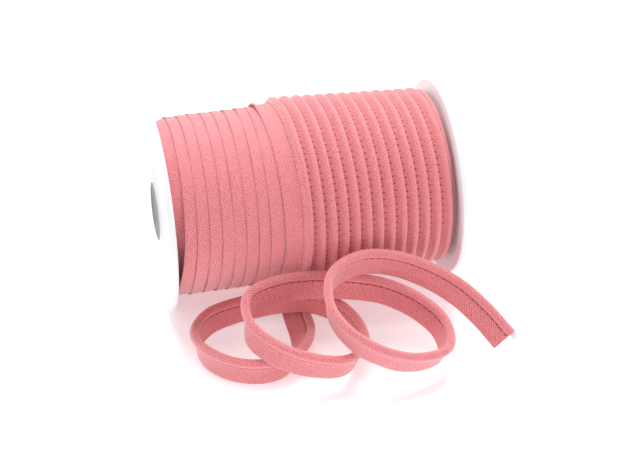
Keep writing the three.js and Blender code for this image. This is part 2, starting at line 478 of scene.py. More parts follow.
def woven_cotton():
    """Bias-cut plain-weave cotton, dyed and pressed: matt, with its threads at 45 degrees to the strip.

    The eye sees small over-and-under threads, slubs, a slightly uneven dye, dark needle holes along the seam
    and a pale bloom of fibres at the edges. Painted light on the threads' tops, and painted shade between
    them and in the holes, are mixed into the colour. Real threads lie about 0.4 mm apart, finer than a
    picture of the whole roll shows, so they are drawn wider.
    """
    name = "woven_cotton"
    if name in bpy.data.materials:
        return bpy.data.materials[name]
    cloth = settings("cloth")
    material, tree, shader = surface(
        name, Specular_IOR_Level=0.4, Sheen_Weight=0.9, Sheen_Roughness=0.7, Sheen_Tint=linear("#FFE2E4"),
    )
    place = node(tree, "ShaderNodeAttribute", attribute_name=PLACE).outputs["Vector"]
    along, _, seam = node(tree, "ShaderNodeSeparateXYZ", {"Vector": place}).outputs

    # The threads sway by about a third of a millimetre either way, as handled cloth does
    sway = node(tree, "ShaderNodeTexNoise", {"Vector": place, "Scale": 0.55, "Detail": 2.0})
    swayed = node(tree, "ShaderNodeVectorMath", {
        0: sway.outputs["Color"], 1: (1.3, 1.3, 0.0), 2: place,
    }, operation="MULTIPLY_ADD")
    lengthwise, crosswise, _ = node(tree, "ShaderNodeSeparateXYZ", {"Vector": swayed}).outputs

    # Warp and weft: the strip's two directions turned by 45 degrees, counted in threads
    pace = MM / (cloth.thread_spacing * math.sqrt(2))
    counts, waves = [], []
    for way in ("ADD", "SUBTRACT"):
        slanted = node(tree, "ShaderNodeMath", {0: lengthwise, 1: crosswise}, operation=way)
        counts.append(node(tree, "ShaderNodeMath", {0: slanted, 1: pace}, operation="MULTIPLY"))
        half_turns = node(tree, "ShaderNodeMath", {0: counts[-1], 1: math.pi}, operation="MULTIPLY")
        waves.append(node(tree, "ShaderNodeMath", {0: half_turns}, operation="COSINE"))
    # Each thread goes over and under the others, and the warp stands a little higher
    over = node(tree, "ShaderNodeMath", {0: waves[0], 1: waves[1]}, operation="MULTIPLY")
    heights = []
    for wave, rise, middle in ((waves[0], 0.35, 0.65), (waves[1], -0.35, 0.45)):
        top = node(tree, "ShaderNodeMath", {0: over, 1: rise, 2: middle}, operation="MULTIPLY_ADD")
        ridge = node(tree, "ShaderNodeMath", {0: wave}, operation="ABSOLUTE")
        heights.append(node(tree, "ShaderNodeMath", {0: ridge, 1: top}, operation="MULTIPLY"))
    weave = node(tree, "ShaderNodeMath", {0: heights[0], 1: heights[1]}, operation="MAXIMUM")

    # Slubs: each thread is a little thicker and paler in some stretches
    threads = node(tree, "ShaderNodeCombineXYZ", {"X": counts[0], "Y": counts[1]})
    slubs = []
    for stretch in ((0.9, 0.12, 1.0), (0.12, 0.9, 1.0)):
        drawn_out = node(tree, "ShaderNodeMapping", {"Vector": threads, "Scale": stretch})
        slubs.append(node(tree, "ShaderNodeTexNoise", {"Vector": drawn_out, "Scale": 1.0, "Detail": 2.0}))
    slub = node(tree, "ShaderNodeMath", {0: slubs[0], 1: slubs[1]}, operation="ADD")
    # Uneven dye, in patches about 6 mm across
    dye = node(tree, "ShaderNodeTexNoise", {"Vector": place, "Scale": 0.16, "Detail": 3.0})

    # Needle holes along the seam, one for each stitch, with soft edges
    stitch = cloth.stitch / MM
    counted = node(tree, "ShaderNodeMath", {0: along, 1: 1 / stitch, 2: 0.5}, operation="MULTIPLY_ADD")
    share = node(tree, "ShaderNodeMath", {0: counted}, operation="FRACT")
    off_hole = node(tree, "ShaderNodeMath", {0: share, 1: stitch, 2: -stitch / 2}, operation="MULTIPLY_ADD")
    off = node(tree, "ShaderNodeCombineXYZ", {"X": off_hole, "Y": seam})
    away = node(tree, "ShaderNodeVectorMath", {0: off}, operation="LENGTH")
    hole = node(tree, "ShaderNodeMapRange", {
        "Value": away.outputs["Value"], "From Min": HOLE_RADIUS * 0.8, "From Max": HOLE_RADIUS * 1.4,
        "To Min": 1.0, "To Max": 0.0,
    }, interpolation_type="SMOOTHSTEP")

    # Pits between the threads: painted shade where some are open, and none where others are closed by fuzz
    closed = node(tree, "ShaderNodeTexNoise", {"Vector": threads, "Scale": 0.8, "Detail": 2.0})
    depth = node(tree, "ShaderNodeMapRange", {"Value": closed, "From Min": 0.36, "From Max": 0.6})
    open_pit = node(tree, "ShaderNodeMapRange", {
        "Value": weave, "From Min": 0.05, "From Max": 0.5, "To Min": 1.0, "To Max": 0.0,
    }, interpolation_type="SMOOTHSTEP")
    pit_shade = node(tree, "ShaderNodeMath", {0: open_pit, 1: depth}, operation="MULTIPLY")

    # Colour: paler on the slubs, with painted light on the threads' tops, painted shade between the threads,
    # and the deepest painted shade in the holes
    woven = node(tree, "ShaderNodeMath", {0: weave, 1: 1.2, 2: -0.22}, operation="MULTIPLY_ADD")
    slubs_and_weave_shade = node(tree, "ShaderNodeMath", {0: slub, 1: 0.55, 2: woven}, operation="MULTIPLY_ADD")
    dye_slubs_and_weave_shade = node(tree, "ShaderNodeMath", {0: dye, 1: 0.16, 2: slubs_and_weave_shade}, operation="MULTIPLY_ADD")
    tone_with_painted_shade = node(tree, "ShaderNodeMath", {0: pit_shade, 1: -2.0, 2: dye_slubs_and_weave_shade}, operation="MULTIPLY_ADD")
    # The dyed cloth's colour, with the weave's painted light and shade mixed in
    dyed = node(tree, "ShaderNodeMix", {
        "Factor": tone_with_painted_shade,
        "A": shade(cloth.cloth_colour, 0.72, 0.08, 0.13),
        "B": shade(cloth.cloth_colour, 1.2, 1.6, 1.55),
    }, data_type="RGBA")
    # Painted shade in the needle holes: the cloth's deepest colour
    painted = node(tree, "ShaderNodeMix", {
        "Factor": hole, "A": dyed, "B": shade(cloth.cloth_colour, 0.6, 0.03, 0.06),
    }, data_type="RGBA")

    fuzz = node(tree, "ShaderNodeTexNoise", {"Vector": place, "Scale": 2.6, "Detail": 4.0})
    fuzzy = node(tree, "ShaderNodeMath", {0: fuzz, 1: 0.5, 2: weave}, operation="MULTIPLY_ADD")
    height = node(tree, "ShaderNodeMath", {0: hole, 1: -1.6, 2: fuzzy}, operation="MULTIPLY_ADD")
    bump = node(tree, "ShaderNodeBump", {"Height": height, "Strength": 0.75, "Distance": 0.14 * MM})
    rough = node(tree, "ShaderNodeMath", {0: weave, 1: -0.1, 2: 0.7}, operation="MULTIPLY_ADD")
    finish_shader(tree, shader, Base_Color=painted, Roughness=rough, Normal=bump)
    return material


def sewing_thread():
    """Two-ply spun cotton thread, dyed to match the cloth: matt, with painted shade in the slanting grooves
    of its twist.
    """
    name = "sewing_thread"
    if name in bpy.data.materials:
        return bpy.data.materials[name]
    colour = settings("cloth").thread_colour
    material, tree, shader = surface(name, Roughness=0.8, Specular_IOR_Level=0.3)
    place = node(tree, "ShaderNodeAttribute", attribute_name=PLACE).outputs["Vector"]
    along, around, _ = node(tree, "ShaderNodeSeparateXYZ", {"Vector": place}).outputs
    # The thread's length in which its plies turn once, in mm
    ply_turn = 0.7
    turn = node(
        tree, "ShaderNodeMath", {0: along, 1: 2 * math.pi / ply_turn, 2: around}, operation="MULTIPLY_ADD",
    )
    slant = node(tree, "ShaderNodeMath", {0: turn}, operation="SINE")
    ply = node(tree, "ShaderNodeMath", {0: slant, 1: 0.5, 2: 0.5}, operation="MULTIPLY_ADD")
    # Painted shade in the grooves between the plies, darker where the twist's wave is low
    paint = node(
        tree, "ShaderNodeMix", {"Factor": ply, "A": shade(colour, 0.6, 0.36, 0.4), "B": colour[:]},
        data_type="RGBA",
    )
    bump = node(tree, "ShaderNodeBump", {"Height": ply, "Strength": 0.6, "Distance": 0.06 * MM})
    finish_shader(tree, shader, Base_Color=paint, Normal=bump)
    return material


def filler_cotton():
    """Soft-spun undyed cotton cord: white, matt and fibrous, with faint grey streaks along its strands."""
    name = "filler_cotton"
    if name in bpy.data.materials:
        return bpy.data.materials[name]
    colour = settings("cloth").core_colour
    material, tree, shader = surface(name, Roughness=0.9, Sheen_Weight=0.4)
    place = node(tree, "ShaderNodeAttribute", attribute_name=PLACE).outputs["Vector"]
    drawn_out = node(tree, "ShaderNodeMapping", {"Vector": place, "Scale": (0.8, 3.0, 1.0)})
    fibres = node(tree, "ShaderNodeTexNoise", {"Vector": drawn_out, "Scale": 2.0, "Detail": 4.0})
    paint = node(
        tree, "ShaderNodeMix", {"Factor": fibres, "A": shade(colour, 0.84, 0.84, 0.86), "B": colour[:]},
        data_type="RGBA",
    )
    bump = node(tree, "ShaderNodeBump", {"Height": fibres, "Strength": 0.8, "Distance": 0.1 * MM})
    finish_shader(tree, shader, Base_Color=paint, Normal=bump)
    return material


def moulded_polystyrene(name, brightness):
    """Injection-moulded polystyrene: opaque and satin, very slightly uneven where it cooled.

    The flanges are white. The tube is a shaded copy of the same plastic, darker grey with painted shade,
    which the eye only sees inside the bore.
    """
    if name in bpy.data.materials:
        return bpy.data.materials[name]
    colour = settings("spool").spool_colour
    material, tree, shader = surface(name, IOR=1.59)
    place = node(tree, "ShaderNodeTexCoord").outputs["Object"]
    # Sink marks about 15 mm across, and a moulded grain of about 0.6 mm
    sink = node(tree, "ShaderNodeTexNoise", {"Vector": place, "Scale": 65.0, "Detail": 1.0})
    grain = node(tree, "ShaderNodeTexNoise", {"Vector": place, "Scale": 1600.0, "Detail": 2.0})
    paint = node(tree, "ShaderNodeMix", {
        "Factor": sink,
        "A": shade(colour, 0.97 * brightness, 0.97 * brightness, 0.975 * brightness),
        "B": shade(colour, brightness, brightness, brightness),
    }, data_type="RGBA")
    rough = node(tree, "ShaderNodeMath", {0: grain, 1: 0.16, 2: 0.36}, operation="MULTIPLY_ADD")
    height = node(tree, "ShaderNodeMath", {0: sink, 1: 3.0, 2: grain}, operation="MULTIPLY_ADD")
    bump = node(tree, "ShaderNodeBump", {"Height": height, "Strength": 0.25, "Distance": 0.05 * MM})
    finish_shader(tree, shader, Base_Color=paint, Roughness=rough, Normal=bump)
    return material


def white_acrylic():
    """The studio's floor, a smooth opal acrylic sheet lit a little from below, so its shadows stay pale."""
    studio = settings("studio")
    material, tree, shader = surface(
        "white_acrylic", Base_Color=studio.floor_colour[:], Emission_Color=(1.0, 1.0, 1.0, 1.0),
        Emission_Strength=studio.floor_glow,
    )
    place = node(tree, "ShaderNodeTexCoord").outputs["Object"]
    haze = node(tree, "ShaderNodeTexNoise", {"Vector": place, "Scale": 30.0, "Detail": 1.0})
    rough = node(tree, "ShaderNodeMath", {0: haze, 1: 0.1, 2: 0.5}, operation="MULTIPLY_ADD")
    finish_shader(tree, shader, Roughness=rough)
    return material


def closed_mesh(name, points, quads, places, caps, ends, material):
    """A piece from points in mm, its quads and its end caps.

    places and ends give the place on the cloth of each corner of the quads and of the caps.
    """
    points = np.asarray(points, float).reshape(-1, 3)
    quads = np.asarray(quads, int).reshape(-1, 4)
    places = np.asarray(places, float).reshape(-1, 4, 3)
    triangles = np.concatenate([quads[:, [0, 1, 2]], quads[:, [0, 2, 3]]])
    first, second, third = (points[triangles[:, corner]] for corner in range(3))
    inside_out = np.einsum("ij,ij->i", first - points.mean(axis=0), np.cross(second, third)).sum() < 0
    way = -1 if inside_out else 1
    faces = quads[:, ::way].tolist() + [list(cap)[::way] for cap in caps]
    corners = [places[:, ::way].reshape(-1, 3)] + [np.asarray(end, float)[::way] for end in ends]
    mesh = bpy.data.meshes.new(name)
    mesh.from_pydata((points * MM).tolist(), [], faces)
    mesh.attributes.new(PLACE, "FLOAT_VECTOR", "CORNER")
    mesh.attributes[PLACE].data.foreach_set("vector", np.concatenate(corners).astype(np.float32).ravel())
    mesh.polygons.foreach_set("use_smooth", [True] * len(faces))
    mesh.materials.append(material)
    mesh.update()
    piece = bpy.data.objects.new(name, mesh)
    bpy.context.scene.collection.objects.link(piece)
    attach(piece, "root")
    return piece


def unwrap(rows):
    """Length round a closed section from its first row, with one value more than it has rows."""
    closed = np.vstack([rows, rows[:1]])[:, :2]
    return np.concatenate([[0.0], np.cumsum(np.linalg.norm(np.diff(closed, axis=0), axis=1))])


def from_bead(section):
    """Length round a section, counted from the top of its bead."""
    around = unwrap(section)
    return around - around[section[:, 0].argmax()]


def skin(along, around, seam, rows):
    """Quads between rows of points round a section, and the place of each of their corners on the cloth.

    Where there are as many bands of quads as rows of points, the last band closes a ring.
    """
    bands, sides = len(along) - 1, len(around) - 1
    ring, row = np.arange(sides), np.arange(bands)[:, None]
    following, next_row = (ring + 1) % sides, (row + 1) % rows
    quads = np.stack([
        row * sides + ring, row * sides + following, next_row * sides + following, next_row * sides + ring,
    ], axis=-1)
    places = np.zeros((bands, sides, 4, 3))
    places[..., 0] = np.stack([along[:-1], along[:-1], along[1:], along[1:]], axis=-1)[:, None]
    for column, values in ((1, around), (2, seam)):
        places[..., column] = np.stack([values[:-1], values[1:], values[1:], values[:-1]], axis=-1)
    return quads, places


def sweep(name, frames, q, v, around, seam, material):
    """A closed strip: a section carried along frames. q runs across the strip, v out of it, all in mm."""
    base, across, out, along = frames
    steps, sides = len(base), len(around) - 1
    q, v = (np.broadcast_to(part, (steps, sides)) for part in (q, v))
    points = base[:, None] + across[:, None] * q[..., None] + out[:, None] * v[..., None]
    quads, places = skin(along, around, seam, steps)
    caps, ends = [], []
    for step, way in ((0, -1), (steps - 1, 1)):
        caps.append(list(range(step * sides, (step + 1) * sides))[::way])
        ends.append(np.stack([along[step] + v[step], q[step], np.full(sides, NO_SEAM)], axis=-1)[::way])
    return closed_mesh(name, points, quads, places, caps, ends, material)


def turned(name, profile, segments, material, pressed_share=0.0):
    """A ring about the roll's axis from a closed profile of [along the axis, radius] rows, in mm."""
    profile = np.asarray(profile, float)
    angles = np.linspace(0, 360, segments, endpoint=False)
    turn = np.radians(angles)[:, None]
    along_axis = profile[:, 0] + 0 * turn
    radius = profile[:, 1] - pressed_share * pressed(angles)[:, None]
    height = AXIS_HEIGHT / MM + radius * np.cos(turn)
    points = np.stack([along_axis, -radius * np.sin(turn), np.maximum(height, 0)], axis=-1)
    reach = np.radians(np.append(angles, 360)) * profile[:, 1].max()
    quads, places = skin(reach, unwrap(profile), np.full(len(profile) + 1, NO_SEAM), segments)
    return closed_mesh(name, points, quads, places, [], [], material)


def smoothstep(value):
    """0 below 0, 1 above 1, and a smooth rise between."""
    value = np.clip(value, 0, 1)
    return value * value * (3 - 2 * value)


def smooth_track(knots, at, reach):
    """A short table of [place, value] rows as a smooth curve, each corner rounded over the given reach."""
    places, values = zip(*sorted(knots))
    shifts = np.linspace(-reach, reach, 9)
    return np.mean([np.interp(np.asarray(at) + shift, places, values) for shift in shifts], axis=0)


def wobble(at, size, wave, seed):
    """Slow unevenness by hand: three sines of unlike wavelengths."""
    draw = random.Random(seed)
    waves = [(wave * share, draw.uniform(0, 2 * math.pi)) for share in (1, 0.618, 0.382)]
    return sum(size / 3 * np.sin(2 * math.pi * np.asarray(at) / length + start) for length, start in waves)


def hump(angles, at, reach):
    """1 at one angle, falling smoothly to 0 on both sides of it."""
    return np.exp(-((angles - at) / reach) ** 2)


def pressed(angles):
    """How far the winding is pressed in, in mm, low on its front."""
    off = (np.asarray(angles) - PRESSED_AT + 180) % 360 - 180
    return settings("winding").slack / MM * hump(off, 0, PRESSED_REACH)


def wound_frames(angles, place, radius, tilt=0.0):
    """Frames along a turn of the roll: points, the ways across the trim and into the roll, and length."""
    turn = np.radians(angles)
    normal = np.stack([0 * turn, -np.sin(turn), np.cos(turn)], axis=-1)
    axis = np.array([1.0, 0.0, 0.0])
    base = place[:, None] * axis + radius[:, None] * normal + np.array([0, 0, AXIS_HEIGHT / MM])
    across = axis * math.cos(tilt) - normal * math.sin(tilt)
    out = -(normal * math.cos(tilt) + axis * math.sin(tilt))
    steps = np.linalg.norm(np.diff(base, axis=0), axis=1)
    return base, across, out, np.concatenate([[0.0], np.cumsum(steps)])


def catmull_rom(rows, at):
    """Points of a Catmull-Rom curve through the rows, at shares of its way from 0 to 1."""
    rows = np.asarray(rows, float)
    ends = np.vstack([2 * rows[0] - rows[1], rows, 2 * rows[-1] - rows[-2]])
    place = (len(rows) - 1) * np.asarray(at, float)
    first = np.minimum(place.astype(int), len(rows) - 2)
    share = (place - first)[:, None]
    before, start, stop, after = (ends[first + step] for step in range(4))
    leave, reach = ROUTE_TENSION * (stop - before), ROUTE_TENSION * (after - start)
    return (
        start + leave * share
        + (3 * (stop - start) - 2 * leave - reach) * share ** 2
        + (2 * (start - stop) + leave + reach) * share ** 3
    )


def loose_frames():
    """Frames along the loose trim's route, and the length that each lies along it.

    A frame is the middle of the trim's width, the way across it and the way out of its inside.
    """
    fine = np.linspace(0, 1, ROUTE_SAMPLES)
    rows = np.asarray(LOOSE_ROUTE, float) * (1 / MM, 1 / MM, 1 / MM, 1)
    curve = catmull_rom(rows, fine)
    reach = np.concatenate([[0.0], np.cumsum(np.linalg.norm(np.diff(curve[:, :3], axis=0), axis=1))])
    along = np.linspace(0, reach[-1], LOOSE_STEPS)
    at = np.interp(along, reach, fine)
    placed = catmull_rom(rows, at)
    nudge = 1e-4
    ahead, behind = (catmull_rom(rows, np.clip(at + step, 0, 1)) for step in (nudge, -nudge))
    tangent = (ahead - behind)[:, :3]
    tangent /= np.linalg.norm(tangent, axis=1)[:, None]
    left = np.stack([-tangent[:, 1], tangent[:, 0], 0 * tangent[:, 0]], axis=-1)
    left /= np.linalg.norm(left, axis=1)[:, None]
    lean = np.radians(placed[:, 3])[:, None]
    across = np.cos(lean) * np.cross(tangent, left) + np.sin(lean) * left
    return placed[:, :3], across, np.cross(tangent, across), along


def cloth_sizes():
    """Half the trim's width, its bead's radius, one layer's thickness and the bead's middle, in mm."""
    cloth = settings("cloth")
    half, bead = cloth.width / MM / 2, cloth.bead_radius / MM
    return half, bead, cloth.thickness / MM / 2, half - bead


def trim_section():
    """Round the folded trim in mm, from its flange's edge up one face, over the bead and down the other.

    Columns: place across the width, place out of it, and whether the row is on the edge of the second layer.
    """
    half, bead, layer, middle = cloth_sizes()
    rows = [(-half, 0.04, 0), (-half, 0.6 * layer, 0)]
    rows += [(-half + 0.12, 0.88 * layer, 0), (-half + 0.45, layer, 0)]
    rows += [(q, layer, 0) for q in np.linspace(-half + 1.4, SEAM - 0.95, 6)]
    # The seam's groove on the inside
    rows += [(SEAM - 0.5, 1.1 * layer, 0), (SEAM - 0.22, 0.95 * layer, 0), (SEAM, 0.5 * layer, 0)]
    rows += [(SEAM + 0.16, 0.4 * layer, 0)]
    for turn in np.radians(np.linspace(163, -160, 23)):
        rows.append((middle + bead * math.cos(turn), bead * math.sin(turn), 0))
    # The turned seam's low ridge on the outside
    rows += [(SEAM + 0.26, -1.1 * layer, 0), (SEAM + 0.1, -1.02 * layer, 0), (SEAM - 0.06, -1.2 * layer, 0)]
    rows += [(SEAM - 0.28, -1.38 * layer, 0), (SEAM - 0.5, -1.34 * layer, 0), (SEAM - 0.7, -1.08 * layer, 0)]
    rows += [(q, -0.95 * layer, 0) for q in np.linspace(SEAM - 0.95, -half + 1.9, 7)]
    # The second layer stops short of the first, and a slit parts them
    rows += [(-half + 0.6, -0.9 * layer, 1), (-half + 0.3, -0.68 * layer, 1), (-half + 0.22, -0.3 * layer, 1)]
    rows += [(-half + 0.24, -0.12 * layer, 1), (-half + 0.5, 0.0, 1)]
    return np.array(rows)


def corded_section():
    """Round the part of a corded turn that shows: its bead, pressed slimmer, and the cloth beside it.

    Columns: place across the width and out of it, with the bead's middle at 0.
    """
    bead = CORDED_BEAD
    rows = [(-5.2, 2.1), (-2.6, 1.5), (-0.8, 1.6)]
    rows += [(bead * math.cos(turn), bead * math.sin(turn)) for turn in np.radians(np.linspace(65, -150, 17))]
    # The cloth beside the bead: its flank, the seam's shallow groove, and the dip below the next bead
    rows += [(-1.52, -0.42), (-1.82, -0.14), (-2.12, 0.08), (-2.4, 0.22), (-2.62, 0.3), (-2.8, 0.32)]
    rows += [(-2.98, 0.3), (-3.2, 0.3), (-3.45, 0.42), (-3.7, 0.6), (-4.3, 1.0), (-5.2, 1.5)]
    return np.array(rows)


def dropped(q):
    """How far the last turn's flange lies below its bead, in mm, by the place across it."""
    return LAST_DROP * smoothstep((DROP_START - q) / DROP_RUN)


def seam_rows(distance, sewn):
    """Distance from the seam of each row of a section where it is sewn, and of its first row again."""
    seam = np.where(sewn, distance, NO_SEAM)
    return np.append(seam, seam[0])


def stitch_rows(name, rows, material):
    """Stitches as joined capsules.

    Each row: frames, the stitches' place across and out of the strip, and the way out of its sewn face.
    """
    stitch = settings("cloth").stitch / MM
    shares, sunk, swell = np.array(STITCH_RINGS).T
    turns = np.linspace(0, 2 * math.pi, THREAD_SIDES + 1)
    quad, _ = skin(shares, turns, turns, len(shares))
    size = len(shares) * THREAD_SIDES
    points, quads, places, caps = [], [], [], []
    count = 0
    for (base, across, out, along), q, v, face in rows:
        stitches = int(along[-1] / stitch) - 1
        at = (np.arange(stitches)[:, None] + shares) * stitch
        centre, aside, away = (
            np.stack([np.interp(at, along, part[:, axis]) for axis in range(3)], axis=-1)
            for part in (base, across, out)
        )
        centre = centre + aside * q + away * (v - face * sunk)[None, :, None]
        reach = THREAD_RADIUS * swell[None, :, None, None]
        round_turns = turns[:-1, None]
        ring = centre[:, :, None] + reach * (
            aside[:, :, None] * np.cos(round_turns) + away[:, :, None] * np.sin(round_turns)
        )
        points.append(ring.reshape(-1, 3))
        start = count + np.arange(stitches)[:, None, None, None] * size
        quads.append((start + quad[None]).reshape(-1, 4))
        place = np.zeros((stitches, len(shares) - 1, THREAD_SIDES, 4, 3))
        near, far = at[:, :-1, None], at[:, 1:, None]
        place[..., 0] = np.stack([near, near, far, far], axis=-1)
        place[..., 1] = np.stack([turns[:-1], turns[1:], turns[1:], turns[:-1]], axis=-1)
        places.append(place.reshape(-1, 4, 3))
        for first in range(count, count + stitches * size, size):
            caps.append([first + corner for corner in reversed(range(THREAD_SIDES))])
            caps.append([first + size - THREAD_SIDES + corner for corner in range(THREAD_SIDES)])
        count += stitches * size
    ends = [np.zeros((THREAD_SIDES, 3))] * len(caps)
    return closed_mesh(
        name, np.concatenate(points), np.concatenate(quads), np.concatenate(places), caps, ends, material,
    )


def flat_track():
    """The flat turns as one ribbon.

    Gives its turns, its angles, the place of its left edge along the axis and its outer radius.
    """
    first = (180 - RIBBON_START) / 360
    at = np.linspace(first, len(FLAT_EDGES) + RIBBON_SPARE, len(FLAT_EDGES) * STEPS_A_TURN)
    knots = []
    for turn, (top, low) in enumerate(FLAT_EDGES):
        knots += [(turn + (180 - angle) / 360, top + (low - top) * way) for angle, way in EDGE_WAY]
        knots.append((turn + 1, top + BACK_SHIFT))
    angles = 180 - 360 * (at % 1)
    length = at * FLAT_TURN_LENGTH
    edge = smooth_track(knots, at, EDGE_REACH) + wobble(length, size=0.14, wave=130, seed=5)
    radius = settings("winding").flat_radius / MM - pressed(angles)
    radius = radius + wobble(length, size=0.12, wave=90, seed=8)
    # The first turn climbs out of the layer below, low on the front beside the left flange
    below = FIRST_TURN_DEPTH * smoothstep((angles - FIRST_TURN_UP) / FIRST_TURN_CLIMB) * (at < 0.5)
    return at, angles, edge, radius - below


def corded_frames():
    """The corded turns as one run, over their bead's middle, from the right flange to the last turn."""
    winding = settings("winding")
    at = np.linspace(-(CORDED_START + 180) / 360, CORDED_TURNS, (CORDED_TURNS + 1) * STEPS_A_TURN)
    turn = np.minimum(np.floor(at), CORDED_TURNS - 1)
    angles = 180 - 360 * (at - turn)
    length = at * CORDED_TURN_LENGTH
    pitch = winding.corded_pitch / MM
    shift = smooth_track(CORDED_SHIFT, angles, TRACK_REACH)
    bead = FIRST_CORDED_BEAD + pitch * (CORDED_TURNS - 1 - turn) + shift
    # The end turn has less room, beside the flange, and lies lower
    end = smoothstep((angles + 180) / END_TURN_RUN) * (turn < 0)
    bead = bead - (bead - END_BEAD) * end + wobble(length, size=0.1, wave=110, seed=21)
    crest = winding.corded_radius / MM - winding.corded_fall * (bead - FALL_START)
    crest = crest - CORDED_PRESS * pressed(angles) + wobble(length, size=0.12, wave=70, seed=4)
    crest = crest - END_TURN_LOWER * end
    # The end turn comes up from the layer below, and the first one beside the last turn goes down below it
    rise = smoothstep((angles - CORDED_START + END_TURN_RISE) / END_TURN_RISE) * (turn < 0)
    fall = smoothstep((FIRST_CORDED_DOWN - angles) / FIRST_CORDED_FALL) * (turn == CORDED_TURNS - 1)
    crest = crest - END_TURN_DEPTH * rise - FIRST_CORDED_DEPTH * fall
    return wound_frames(angles, bead, crest - CORDED_BEAD)


def last_turn_frames():
    """The last turn over its bead's middle, with the stretch that leaves the underside, and its angles."""
    *_, middle = cloth_sizes()
    angles = np.linspace(LAST_TURN_START, -180, LAST_TURN_STEPS)
    radius = settings("winding").corded_radius / MM - CORDED_BEAD - LAST_PRESS * pressed(angles)
    place = smooth_track(LAST_BEAD, angles, TRACK_REACH)
    base, across, out, _ = wound_frames(angles, place, radius)
    reach = np.linspace(0, 1, TAIL_STEPS + 1)[1:, None]
    start = Vector(LOOSE_ROUTE[0][:3]) / MM
    end = np.array([start.x + middle, start.y + TAIL_GAP, start.z])
    # It leaves the roll level, and comes down to the table at its end
    tail = base[-1] + (end - base[-1]) * np.hstack([reach, reach, smoothstep(reach)])
    base = np.concatenate([base, tail])
    across, out = (np.concatenate([part, np.repeat(part[-1:], TAIL_STEPS, axis=0)]) for part in (across, out))
    steps = np.linalg.norm(np.diff(base, axis=0), axis=1)
    angles = np.concatenate([angles, -180 - TAIL_ANGLE * reach[:, 0]])
    return (base, across, out, np.concatenate([[0.0], np.cumsum(steps)])), angles


def disc_profile(side):
    """Half section of a flange: its rim is rounded, and its bore's edge half as much."""
    spool = settings("spool")
    low, high = (FLANGE_LOW.x / MM, FLANGE_HIGH.x / MM)
    if side < 0:
        low, high = -high, -low
    rounding, bore, rim = spool.rim_rounding / MM, spool.bore_radius / MM, FLANGE_RADIUS / MM
    # Each corner: its place and radius, the angles that it turns from and to, and its share of the rounding
    corners = [
        (low, bore, 180, 270, 0.5),
        (low, rim, 180, 90, 1),
        (high, rim, 90, 0, 1),
        (high, bore, 0, -90, 0.5),
    ]
    profile = []
    for place, radius, start, stop, share in corners:
        size = rounding * share
        centre_place = place + (size if place == low else -size)
        centre_radius = radius + (size if radius == bore else -size)
        for angle in np.radians(np.linspace(start, stop, CORNER_STEPS)):
            profile.append((centre_place + size * math.cos(angle), centre_radius + size * math.sin(angle)))
    return profile


class PIPING_OT_studio(bpy.types.Operator):
    """Sets the camera, the soft lights, the white surroundings and the floor"""

    bl_idname = "piping.studio"
    bl_label = "Studio"

    def execute(self, context):
        studio = settings("studio")
        scene = context.scene
        # White product light: pure white stays white
        scene.view_settings.view_transform = "Standard"

        camera = bpy.data.objects.new("camera", bpy.data.cameras.new("camera"))
        scene.collection.objects.link(camera)
        camera.data.lens = CAMERA_LENS
        camera.data.sensor_width = 36.0
        camera.data.clip_start = 0.05
        camera.location = CAMERA_PLACE
        sight = Vector(CAMERA_TARGET) - Vector(CAMERA_PLACE)
        camera.rotation_euler = sight.to_track_quat("-Z", "Y").to_euler()
        scene.camera = camera

        world = bpy.data.worlds.new("white_surroundings")
        world.use_nodes = True
        background = next(each for each in world.node_tree.nodes if each.type == "BACKGROUND")
        background.inputs["Color"].default_value = (1.0, 1.0, 1.0, 1.0)
        background.inputs["Strength"].default_value = studio.fill
        scene.world = world

        for name, place, size, share in SOFT_LIGHTS:
            lamp = bpy.data.objects.new(name, bpy.data.lights.new(name, "AREA"))
            scene.collection.objects.link(lamp)
            lamp.data.shape = "SQUARE"
            lamp.data.size = size
            lamp.data.energy = studio.key * share
            lamp.location = place
            lamp.rotation_euler = (-Vector(place)).to_track_quat("-Z", "Y").to_euler()

        half = FLOOR_SIZE / 2
        corners = [(-half, -half), (half, -half), (half, half), (-half, half)]
        mesh = bpy.data.meshes.new("studio_floor")
        mesh.from_pydata([(x, y, -FLOOR_GAP) for x, y in corners], [], [(0, 1, 2, 3)])
        mesh.materials.append(white_acrylic())
        floor = bpy.data.objects.new("studio_floor", mesh)
        scene.collection.objects.link(floor)
        return {"FINISHED"}


